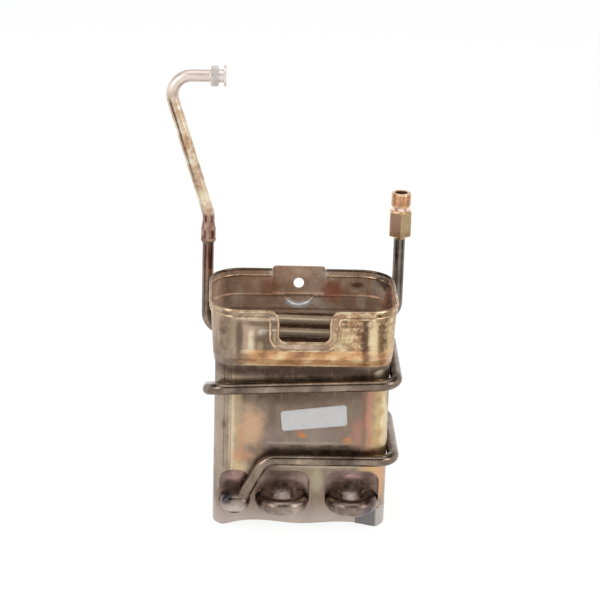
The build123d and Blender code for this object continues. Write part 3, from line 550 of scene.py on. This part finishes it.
def set_braze(name, stops):
    """Brazing alloy that ran and set: matt and lumpy, 1.6 mm from lump to lump."""
    material, tree = new_material(name)
    place = add(tree, "TexCoord", out="Object")
    lumps = add(tree, "TexNoise", {"Vector": place, "Scale": 1 / (1.6 * MM), "Detail": 4,
                                   "Roughness": 0.6})
    colour = add(tree, "ValToRGB", {"Fac": lumps}, stops=stops)
    metal_surface(tree, colour, 0.45, [(lumps, 0.5, 0.4)], 0.3)
    return material


def coated_paper():
    """White coated paper: matt, a little rubbed and warmed in places about 7 mm across."""
    material, tree = new_material("white_coated_paper")
    place = add(tree, "TexCoord", out="Object")
    rub = add(tree, "TexNoise", {"Vector": place, "Scale": 1 / (7 * MM), "Detail": 5,
                                 "Roughness": 0.6})
    colour = add(tree, "ValToRGB", {"Fac": rub}, stops=[(0.3, "#d3d1ce"), (0.7, "#dfdedc")])
    shader = add(tree, "BsdfPrincipled", {"Base Color": colour, "Roughness": 0.6})
    add(tree, "OutputMaterial", {"Surface": shader})
    return material


skirt_sheet = brazed_skirt_sheet()
jacket_sheet = brazed_jacket_sheet()
# The first run rises to the socket, where the torch turned it rose
COIL_MARKS = [
    ((-98, 64, 250), (12, 12, 30), 0.65, "#8f6459"),
    ((-98, 64, 205), (12, 12, 20), 0.35, "#6e5a50"),
]
coil_copper = drawn_copper_tube("tarnished_drawn_copper_tube", [
    (0.30, "#5c4e44"), (0.46, "#7f6f62"), (0.60, "#9a8878"), (0.72, "#b7a491")], 0.15, 0.26,
    (0.1, 0.1, 1), marks=COIL_MARKS)
riser_copper = drawn_copper_tube("tarnished_copper_riser", [
    (0.30, "#514941"), (0.46, "#706860"), (0.60, "#887f77"), (0.72, "#a39a90")], 0.15, 0.26,
    (1, 1, 0.1))
# Painted dark and pale reflections on the inlet cap, and torch marks on the right bend's end
BEND_MARKS = [
    # Painted dark reflection on the cap's top with a light scratch, painted pale reflection below
    ((-75, -70, 37), (8, 16, 7), 0.92, "#33303a"),
    ((-68, -74, 40), (5, 14, 3), 0.60, "#7d7478"),
    ((-66, -76, 24), (13, 7, 6), 0.75, "#cbbfb4"),
    ((70, -82, 24), (10, 10, 7), 0.70, "#5f5d66"),
    ((71, -72, 35), (8, 14, 7), 0.75, "#4e3d36"),
]
bend_copper = drawn_copper_tube("flame_dark_copper_bend", [
    (0.30, "#5b4b41"), (0.46, "#84736a"), (0.60, "#a59588"), (0.72, "#c2b4a8")], 0.24, 0.38,
    (0.2, 0.2, 1), marks=BEND_MARKS)
# Torch marks on the front tube plate, which shows in the windows, and painted shade at their tops
PLATE_MARKS = [
    ((-18, -51, 34), (9, 6, 6), 0.60, "#cfc4bb"),
    ((54, -51, 34), (6, 6, 8), 0.70, "#d6ccc4"),
    ((54, -51, 52), (9, 6, 2.5), 0.60, "#cfa9a4"),
    ((-62, -51, 52), (10, 6, 9), 0.60, "#c19a90"),
    # Painted shade at the tops of the windows
    ((-18, -51, 56), (24, 6, 5), 0.55, "#5b483e"),
    ((70, -51, 52), (8, 6, 8), 0.60, "#5b3f38"),
    ((38, -51, 52), (8, 6, 8), 0.45, "#6b564b"),
]
plate_copper = drawn_copper_tube("rolled_copper_tube_plate", [
    (0.30, "#604d44"), (0.46, "#806b62"), (0.60, "#9a8379"), (0.72, "#b9a499")], 0.20, 0.34,
    (0.1, 1, 1), 2.5, PLATE_MARKS)
neck_copper = annealed_neck_pipe()
# Heat turned the thread copper-pink and the hexagon's left face rosy; the groove carries a
# painted highlight
UNION_MARKS = [
    ((103, 79, 312), (20, 20, 10), 0.75, "#cfa88e"),
    ((103, 79, 302.8), (20, 20, 2.6), 0.95, "#f8dccd"),
    ((96, 69, 290), (8, 9, 12), 0.80, "#ecc6b2"),
    ((108, 69, 288), (6, 8, 13), 0.65, "#f0d8a4"),
    ((103, 69, 275), (14, 12, 4), 0.35, "#9c8060"),
]
brass = turned_brass("turned_brass", [
    (0.34, "#cba27a"), (0.45, "#e8bf94"), (0.56, "#f6d4a8"), (0.68, "#fdedd2")], 0.28,
    UNION_MARKS)
pale_brass = turned_brass("tinned_turned_brass", [(0.3, "#e6dad2"), (0.6, "#f4ece7")], 0.42)
yellow_braze = set_braze("yellow_braze_run", [
    (0.35, "#866a4a"), (0.50, "#b2926a"), (0.66, "#d0bb96")])
grey_braze = set_braze("grey_braze_run", [
    (0.35, "#5b4c42"), (0.50, "#7d6c5e"), (0.66, "#a39180")])
edge_copper = painted_highlight_edge()
sticker_paper = coated_paper()

FINISHES = {
    "jacket": jacket_sheet, "burner_skirt": skirt_sheet, "front_tube_plate": plate_copper,
    "rear_tube_plate": plate_copper, "return_bends": bend_copper, "coil_tube": coil_copper,
    "inlet_cap": bend_copper, "gooseneck_pipe": neck_copper, "gooseneck_fitting": pale_brass,
    "outlet_pipe": riser_copper, "outlet_reducer": bend_copper,
}
FINISHES.update({f"core_tube_{n}": bend_copper for n in range(1, len(CORE_XS) + 1)})
for node, finish in FINISHES.items():
    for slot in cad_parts[node].material_slots:
        slot.material = finish


def piece(name, mesh, material, smooth=True):
    """Puts a finished mesh in the scene and lets it ride on the part."""
    thing = bpy.data.objects.new(name, mesh)
    bpy.context.scene.collection.objects.link(thing)
    mesh.materials.append(material)
    mesh.polygons.foreach_set("use_smooth", [smooth] * len(mesh.polygons))
    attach(thing, "root")
    return thing


def turned(name, profile, start, axis, material, sides=64, radius_at=None):
    """A turned piece: profile is (radius, height) in mm, laid from start along axis.

    radius_at(radius, height, angle) may change a radius as the angle goes round."""
    bm = bmesh.new()
    turn = Vector((0, 0, 1)).rotation_difference(Vector(axis).normalized()).to_matrix()
    rings = []
    for radius, height in profile:
        ring = []
        for i in range(sides):
            angle = 2 * math.pi * i / sides
            r = radius_at(radius, height, angle) if radius_at else radius
            local = Vector((r * math.cos(angle), r * math.sin(angle), height))
            ring.append(bm.verts.new(at(*start) + turn @ local * MM))
        rings.append(ring)
    for low, high in zip(rings, rings[1:]):
        for i in range(sides):
            j = (i + 1) % sides
            bm.faces.new((low[i], low[j], high[j], high[i]))
    bmesh.ops.recalc_face_normals(bm, faces=bm.faces)
    mesh = bpy.data.meshes.new(name)
    bm.to_mesh(mesh)
    bm.free()
    return piece(name, mesh, material)


def braze_ring(name, start, axis, tube_r, reach, foot, material, slot):
    """A hollow fillet of alloy where a tube goes in: it falls from reach to the tube's wall."""
    inner = tube_r - 0.1
    steps = 8
    profile = [(inner + reach * (1 - math.sin(i / steps * math.pi / 2)), foot * (i / steps))
               for i in range(steps + 1)]

    def uneven(radius, height, angle):
        swell = 1 + 0.18 * math.sin(3 * angle + 1) + 0.1 * math.sin(7 * angle)
        return inner + (radius - inner) * swell
    return turned(name, profile, start, axis, material, 48, uneven)


# Union: its lower end, half the hexagon across its flats, the chamfer's end and the tube's seat.
# Radii of the hexagon carry HEX_TAG on top, so that its flats can be told from the round parts.
UNION_FOOT = (102.9, 79.4, 272.0)
HEX_HALF = 11.0
HEX_TAG = 100
CHAMFER_R = 9.6
TUBE_SEAT_R = 6.15

# Half-inch pipe thread: heights are counted from the union's lower end, and its turns lie
# further out than THREAD_CORE
THREAD_PITCH = 1.814
THREAD_DEPTH = 1.16
THREAD_R = 10.44
THREAD_CORE = 9
THREAD_LOW = 33.9
THREAD_HIGH = 47.2
THREAD_ROWS_END = 47.0


def make_union():
    """Hexagon, groove and half-inch pipe thread, bored through."""
    hex_r = HEX_TAG + HEX_HALF / math.cos(math.pi / 6)
    end_r = HEX_TAG + CHAMFER_R

    def shape(radius, height, angle):
        if radius > HEX_TAG / 2:
            facet = (angle + math.pi / 6) % (math.pi / 3) - math.pi / 6
            return min(HEX_HALF / math.cos(facet), radius - HEX_TAG)
        if height > THREAD_LOW and radius > THREAD_CORE:
            turn = (height / THREAD_PITCH - angle / (2 * math.pi)) % 1.0
            run_in = max(0.0, (height - THREAD_LOW) / 0.8)
            run_out = max(0.0, THREAD_HIGH - height)
            return radius - THREAD_DEPTH * min(1.0, run_in, run_out) * abs(2 * turn - 1)
        return radius

    profile = [(TUBE_SEAT_R, 0.0), (end_r, 0.0), (hex_r, 1.2), (hex_r, 27.3), (end_r, 28.5),
               (9.3, 28.5), (9.3, 32.7), (9.6, 32.9), (THREAD_R, 33.8)]
    step = THREAD_PITCH / 10
    steps = int((THREAD_ROWS_END - THREAD_LOW) / step)
    profile += [(THREAD_R, THREAD_LOW + i * step) for i in range(1, steps)]
    profile += [(10.0, 46.9), (9.3, 47.5), (6.9, 47.5), (6.6, 47.2), (6.6, 16.0), (5.0, 16.0),
                (5.0, 14.0), (6.1, 14.0), (TUBE_SEAT_R, 0.0)]
    union = turned("outlet_union_threaded", profile, UNION_FOOT, (0, 0, 1), brass,
                   96, shape)
    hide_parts("outlet_union")
    edges = union.modifiers.new("crisp_edges", "EDGE_SPLIT")
    edges.split_angle = math.radians(32)


def draw_line(curve, points, closed=False):
    """Adds straight lines through points, which are in metres, to a curve."""
    line = curve.splines.new("POLY")
    line.points.add(len(points) - 1)
    for target, point in zip(line.points, points):
        target.co = (*point, 1)
    line.use_cyclic_u = closed


def mesh_of(curve):
    """The mesh of a curve, with its thickness."""
    path = bpy.data.objects.new(curve.name + "_path", curve)
    bpy.context.scene.collection.objects.link(path)
    bpy.context.view_layer.update()
    graph = bpy.context.evaluated_depsgraph_get()
    mesh = bpy.data.meshes.new_from_object(path.evaluated_get(graph))
    bpy.data.objects.remove(path)
    mesh.materials.clear()
    return mesh


# Fins: how many, their sheet, lower edge, height and waves of the upper edge, and the gaps
# to the pack's box and round each tube
FIN_COUNT = 45
FIN_SHEET = 0.3
FIN_FOOT = 10.2
FIN_HEAD = 47.6
FIN_WAVE = 2.2
FIN_INSET = 0.2
FIN_HOLE_GAP = 0.12


def make_fins():
    """The dense pack of thin fins; each has a waved upper edge and a hole for each tube."""
    low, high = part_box("fin_pack")
    inset = FIN_INSET * MM
    left, right = low.x + inset, high.x - inset
    curve = bpy.data.curves.new("fin_outline", "CURVE")
    curve.dimensions = "2D"
    curve.fill_mode = "BOTH"
    curve.extrude = FIN_SHEET / 2 * MM
    outline = [(left, FIN_FOOT * MM, 0), (right, FIN_FOOT * MM, 0)]
    waves = 120
    for i in range(waves + 1):
        x = right + (left - right) * i / waves
        wave = math.cos(2 * math.pi * (x / MM - JACKET_AXIS.x) / CORE_PITCH)
        outline.append((x, (FIN_HEAD + FIN_WAVE * wave) * MM, 0))
    draw_line(curve, outline, closed=True)
    hole = (CORE_R + FIN_HOLE_GAP) * MM
    sides = 48
    angles = [2 * math.pi * k / sides for k in range(sides)]
    for across in CORE_XS:
        centre = at(across, 0, CORE_Z)
        draw_line(curve, [(centre.x + hole * math.cos(a), centre.z + hole * math.sin(a), 0)
                          for a in angles], closed=True)
    one = mesh_of(curve)
    bm = bmesh.new()
    for i in range(FIN_COUNT):
        y = low.y + inset + (high.y - low.y - 2 * inset) * i / (FIN_COUNT - 1)
        stand = Matrix.Translation((0, y, 0)) @ Matrix.Rotation(math.pi / 2, 4, "X")
        copy = one.copy()
        copy.transform(stand)
        bm.from_mesh(copy)
        bpy.data.meshes.remove(copy)
    mesh = bpy.data.meshes.new("fin_pack_dense")
    bm.to_mesh(mesh)
    bm.free()
    fins = piece("fin_pack_dense", mesh, bend_copper, smooth=False)
    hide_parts("fin_pack")


# Sticker: corners as (x, z) from the upper left one round to the right, its sheet, the gap under
# it, and how far its right edge curls up over the last share of its width
STICKER_CORNERS = [Vector(c) for c in ((-21.8, 127.6), (44.9, 135.8), (46.7, 112.8),
                                       (-19.7, 105.7))]
STICKER_SHEET = 0.08
STICKER_GAP = 0.10
STICKER_CURL = 0.2
CURL_SHARE = 0.03


def make_sticker():
    """The bare sticker on the front wall, with cut corners and one edge slightly lifted."""
    upper_left, upper_right, lower_right, lower_left = STICKER_CORNERS
    bm = bmesh.new()
    columns, rows = 48, 16
    grid = []
    for j in range(rows + 1):
        line = []
        for i in range(columns + 1):
            u, v = i / columns, j / rows
            x, z = upper_left.lerp(upper_right, u).lerp(lower_left.lerp(lower_right, u), v)
            curl = STICKER_CURL * max(0.0, u - 1 + CURL_SHARE) / CURL_SHARE
            lift = STICKER_GAP + curl + 0.03 * math.sin(9 * u + 2 * v)
            line.append(bm.verts.new(at(x, FRONT_Y - lift, z)))
        grid.append(line)
    for j in range(rows):
        for i in range(columns):
            bm.faces.new((grid[j][i], grid[j + 1][i], grid[j + 1][i + 1], grid[j][i + 1]))
    corner_verts = [grid[0][0], grid[0][-1], grid[-1][0], grid[-1][-1]]
    bmesh.ops.delete(bm, geom=corner_verts, context="VERTS")
    mesh = bpy.data.meshes.new("bare_sticker")
    bm.to_mesh(mesh)
    bm.free()
    sticker = piece("bare_sticker", mesh, sticker_paper)
    thick = sticker.modifiers.new("paper", "SOLIDIFY")
    thick.thickness = STICKER_SHEET * MM
    thick.offset = 0


def arc(across, up, radius, start, end, steps=10):
    """Points on an arc between two angles in degrees."""
    turns = [math.radians(start + (end - start) * i / steps) for i in range(steps + 1)]
    return [(across + radius * math.cos(turn), up + radius * math.sin(turn)) for turn in turns]


def border_line(inset, drop):
    """The skirt's border, from the tab's right end round the front to the tab's left end.

    It runs drop mm under the rim, and inset mm away from the notch's edge."""
    rim, half_y, corner = SKIRT_TOP - drop, SKIRT_HALF_Y, SKIRT_CORNER
    half_x = SKIRT_HALF_X - drop * SKIRT_LEAN
    half, foot, bend = NOTCH_HALF + inset, NOTCH_FOOT - inset, NOTCH_CORNER + inset
    flare = NOTCH_FLARE - min(inset, NOTCH_FLARE / 2)
    plan = arc(half_x - corner, half_y - corner, corner, 90, 0)
    plan += arc(half_x - corner, corner - half_y, corner, 0, -90)
    right = [(x, y, rim) for x, y in plan]
    side = arc(half + flare, rim - flare, flare, 90, 180)
    side += arc(half - bend, foot + bend, bend, 0, -90)
    right += [(x, -half_y, z) for x, z in side]
    left = [(-x, y, z) for x, y, z in reversed(right)]
    return [(TAB_RIGHT, half_y, rim)] + right + left + [(TAB_LEFT, half_y, rim)]


def rolled_bead(name, inset, drop, radius, lift):
    """A round bead pressed or rolled along the skirt's border, lift mm out of the wall."""
    curve = bpy.data.curves.new(name, "CURVE")
    curve.dimensions = "3D"
    curve.bevel_depth = radius * MM
    curve.bevel_resolution = 4
    curve.use_fill_caps = True
    points = []
    for x, y, z in border_line(inset, drop):
        bend_x = max(0.0, abs(x) - (SKIRT_HALF_X - SKIRT_CORNER))
        bend_y = max(0.0, abs(y) - (SKIRT_HALF_Y - SKIRT_CORNER))
        away = Vector((math.copysign(bend_x, x), math.copysign(bend_y, y), 0)).normalized()
        points.append(at(x + away.x * lift, y + away.y * lift, z))
    draw_line(curve, points)
    return piece(name, mesh_of(curve), edge_copper)


make_union()
make_fins()
make_sticker()
rolled_bead("rolled_lip", inset=0.4, drop=0.6, radius=1.5, lift=0.2)
rolled_bead("pressed_bead", inset=8.4, drop=7.0, radius=1.5, lift=-0.1)

# Name, start, axis, tube's radius, reach, foot, alloy and slot of each braze ring
BRAZE_RINGS = [
    ("socket_braze", (-98.2, 64.0, 269.2), (0, 0, -1), COIL_R, 1.9, 5.0, grey_braze,
     "copper_tube"),
    ("union_braze", (102.9, 79.4, 272.1), (0, 0, -1), COIL_R, 2.2, 3.6, yellow_braze,
     "turned_brass"),
    ("fitting_braze", (-97.9, 64.0, 444.0), (-1, 0, 0), 6.35, 1.0, 1.6, pale_brass,
     "plated_brass"),
    ("reducer_braze", (CORE_XS[-1], 57.5, CORE_Z), (0, 1, 0), COIL_R, 1.4, 3.0, grey_braze,
     "copper_bend"),
    ("cap_braze", (-57.4, -66.8, 37.5), (0.468, 0, 0.884), COIL_R, 1.3, 2.4, grey_braze,
     "copper_bend"),
]
# The first tube ends in the inlet cap in front, and the last in the reducer at the rear
for number, across in enumerate(CORE_XS, start=1):
    if number > 1:
        BRAZE_RINGS.append((f"core_braze_front_{number}", (across, -CORE_BRAZE_Y, CORE_Z),
                            (0, -1, 0), CORE_R, 1.1, 2.1, grey_braze, "copper_plate"))
    if number < len(CORE_XS):
        BRAZE_RINGS.append((f"core_braze_rear_{number}", (across, CORE_BRAZE_Y, CORE_Z),
                            (0, 1, 0), CORE_R, 1.1, 2.1, grey_braze, "copper_plate"))
for ring in BRAZE_RINGS:
    braze_ring(*ring)


# Camera, fitted to the object: degrees up, round and rolled, the place in mm that it looks at,
# its distance from there in metres, and its lens in mm
CAMERA_ANGLES = (19.5, -2.16, 1.67)
CAMERA_TARGET = (-3.04, 0.0, 226.26)
CAMERA_DISTANCE = 2.3
CAMERA_LENS = 134.6


def make_camera():
    """The camera at the photograph's viewing angle."""
    elevation, azimuth, roll = (math.radians(angle) for angle in CAMERA_ANGLES)
    target = at(*CAMERA_TARGET)
    back = Vector((math.sin(azimuth) * math.cos(elevation),
                   -math.cos(azimuth) * math.cos(elevation), math.sin(elevation)))
    right = Vector((0, 0, 1)).cross(back).normalized()
    up = back.cross(right)
    rolled_right = right * math.cos(roll) + up * math.sin(roll)
    rolled_up = up * math.cos(roll) - right * math.sin(roll)
    data = bpy.data.cameras.new("photograph_camera")
    data.sensor_width = 36.0
    data.lens = CAMERA_LENS
    data.clip_end = 60.0
    camera = bpy.data.objects.new("photograph_camera", data)
    turn = Matrix((rolled_right, rolled_up, back)).transposed().to_4x4()
    camera.matrix_world = Matrix.Translation(target + back * CAMERA_DISTANCE) @ turn
    bpy.context.scene.collection.objects.link(camera)
    bpy.context.scene.camera = camera


# The part's middle, in metres
LAMP_AIM = (0, 0, 0.2)


def make_lamp(name, place, size, watts):
    """A soft box that looks at the part's middle."""
    data = bpy.data.lights.new(name, "AREA")
    data.shape = "RECTANGLE"
    data.size, data.size_y = size
    data.energy = watts
    lamp = bpy.data.objects.new(name, data)
    lamp.location = place
    lamp.rotation_euler = (Vector(LAMP_AIM) - Vector(place)).to_track_quat("-Z", "Y").to_euler()
    bpy.context.scene.collection.objects.link(lamp)


def lay_sheet(name, place, wide, deep, material):
    """A flat sheet that lies in the studio."""
    mesh = bpy.data.meshes.new(name)
    mesh.from_pydata([(-wide / 2, -deep / 2, 0), (wide / 2, -deep / 2, 0),
                      (wide / 2, deep / 2, 0), (-wide / 2, deep / 2, 0)], [], [(0, 1, 2, 3)])
    mesh.materials.append(material)
    sheet = bpy.data.objects.new(name, mesh)
    sheet.location = place
    bpy.context.scene.collection.objects.link(sheet)
    return sheet


def make_card(name, place, wide, deep):
    """A dark painted card beside the part, for upright metal to reflect; it shades no floor."""
    material, tree = new_material(name + "_paint")
    paint = add(tree, "BsdfDiffuse", {"Color": "#5a524a"})
    add(tree, "OutputMaterial", {"Surface": paint})
    card = lay_sheet(name, place, wide, deep, material)
    card.visible_camera = card.visible_diffuse = card.visible_shadow = False


def seen_ray(tree):
    """1 for rays that show the background: from the camera, in gloss or through glass."""
    camera = add(tree, "LightPath", out="Is Camera Ray")
    gloss = add(tree, "LightPath", out="Is Glossy Ray")
    through = add(tree, "LightPath", out="Is Transmission Ray")
    first = add(tree, "Math", {0: camera, 1: gloss}, operation="MAXIMUM")
    return add(tree, "Math", {0: first, 1: through}, operation="MAXIMUM")


def make_studio():
    """White floor and sweep under a dim ceiling, with plain soft light.

    What lights the part is dimmer than what the camera, gloss and glass see of the studio."""
    world = bpy.data.worlds.new("white_studio")
    bpy.context.scene.world = world
    world.use_nodes = True
    tree = world.node_tree
    tree.nodes.clear()
    lit = add(tree, "Background", {"Color": (0.42, 0.42, 0.43, 1), "Strength": 1.0})
    height = add(tree, "SeparateXYZ", {0: add(tree, "TexCoord", out="Generated")}, out="Z")
    ceiling = add(tree, "MapRange", {"Value": height, "From Min": 0.36, "From Max": 0.72},
                  interpolation_type="SMOOTHSTEP")
    sweep = add(tree, "Mix", {"Factor": ceiling, A: "#ffffff", B: "#45413d"}, out=MIXED,
                data_type="RGBA")
    seen = add(tree, "Background", {"Color": sweep, "Strength": 1.0})
    both = add(tree, "MixShader", {0: seen_ray(tree), 1: lit, 2: seen})
    add(tree, "OutputWorld", {"Surface": both})

    material, tree = new_material("white_paper_floor")
    matt = add(tree, "BsdfDiffuse", {"Color": (0.9, 0.9, 0.9, 1)})
    white = add(tree, "Emission", {"Color": (1, 1, 1, 1), "Strength": 1.1})
    share = add(tree, "Math", {0: seen_ray(tree), 1: 0.82}, operation="MULTIPLY")
    both = add(tree, "MixShader", {0: share, 1: matt, 2: white})
    add(tree, "OutputMaterial", {"Surface": both})
    # A hair under the part's foot, so that the two don't share a plane
    floor = lay_sheet("floor", (0, 0, -0.0004), 16, 16, material)
    make_lamp("left_softbox", (-1.3, -1.0, 1.3), (0.9, 1.2), 9)
    make_lamp("right_softbox", (1.4, -0.8, 1.1), (0.7, 1.2), 7)
    make_lamp("top_softbox", (0.0, 0.1, 2.2), (2.4, 2.4), 22)
    make_card("left_card", (-0.85, -0.5, 0.002), 0.55, 0.9)
    make_card("right_card", (0.90, -0.5, 0.002), 0.50, 0.9)


make_camera()
make_studio()
bpy.context.scene.view_settings.view_transform = "Standard"
